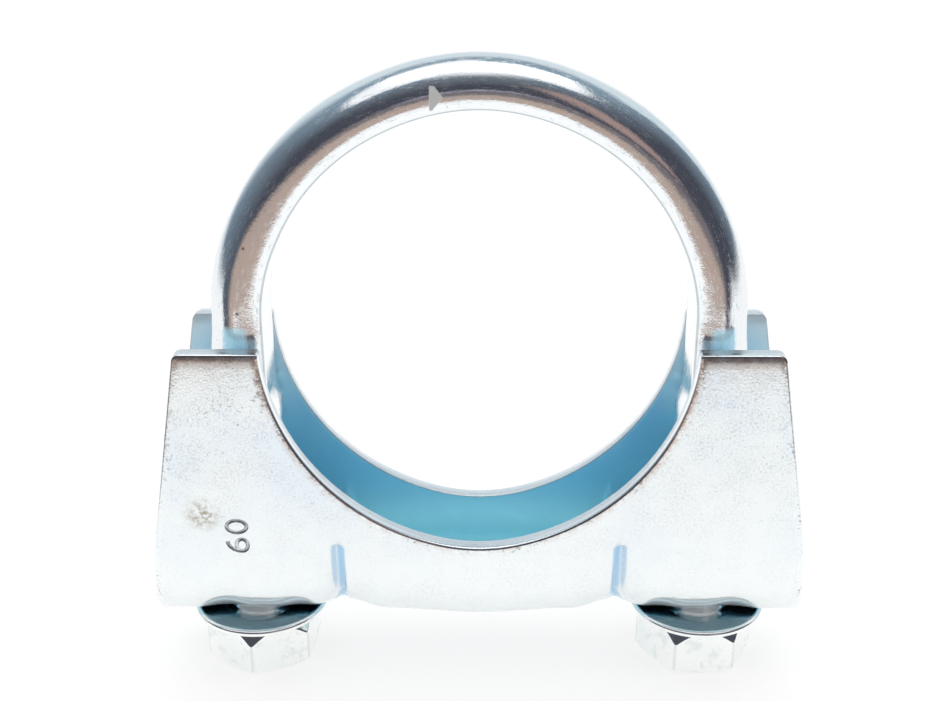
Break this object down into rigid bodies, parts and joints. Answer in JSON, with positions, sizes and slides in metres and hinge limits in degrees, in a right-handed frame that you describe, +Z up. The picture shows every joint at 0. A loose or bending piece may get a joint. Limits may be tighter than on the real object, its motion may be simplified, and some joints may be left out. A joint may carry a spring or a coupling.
{
  "type": "exhaust clamp",
  "caption": "U-bolt exhaust clamp with a folded sheet-steel saddle and flange nuts, bright zinc plated, for a 60 mm pipe.",
  "frame": {"origin": "middle of the clamp's footprint, on the plane of the nuts' end faces", "axes": "+Z up along the bolt's legs, X across the two legs, Y along the pipe"},
  "size_m": [0.0968, 0.0208, 0.0947],
  "materials": {
    "zinc_on_rod": "bright zinc plate",
    "zinc_on_sheet": "bright zinc plate",
    "zinc_on_nut_left": "bright zinc plate",
    "zinc_on_nut_right": "bright zinc plate"
  },
  "bodies": {
    "bolt": {"u_bolt": "zinc_on_rod"},
    "saddle": {"saddle": "zinc_on_sheet"},
    "left_nut": {"nut_left": "zinc_on_nut_left"},
    "right_nut": {"nut_right": "zinc_on_nut_right"}
  },
  "joints": [
    {"name": "saddle_slide", "type": "slide", "parent": "bolt", "child": "saddle", "axis": [0, 0, 1], "range_m": [0, 0.02]},
    {"name": "left_nut_turn", "type": "hinge", "parent": "saddle", "child": "left_nut", "pos_m": [-0.0341, 0, 0], "axis": [0, 0, 1], "range_deg": [0, 4800]},
    {"name": "right_nut_turn", "type": "hinge", "parent": "saddle", "child": "right_nut", "pos_m": [0.0341, 0, 0], "axis": [0, 0, 1], "range_deg": [0, 4800]}
  ],
  "couplings": [
    {"joint": "left_nut_turn", "follows": "saddle_slide", "rad_per_m": 4188.8},
    {"joint": "right_nut_turn", "follows": "saddle_slide", "rad_per_m": 4188.8}
  ]
}
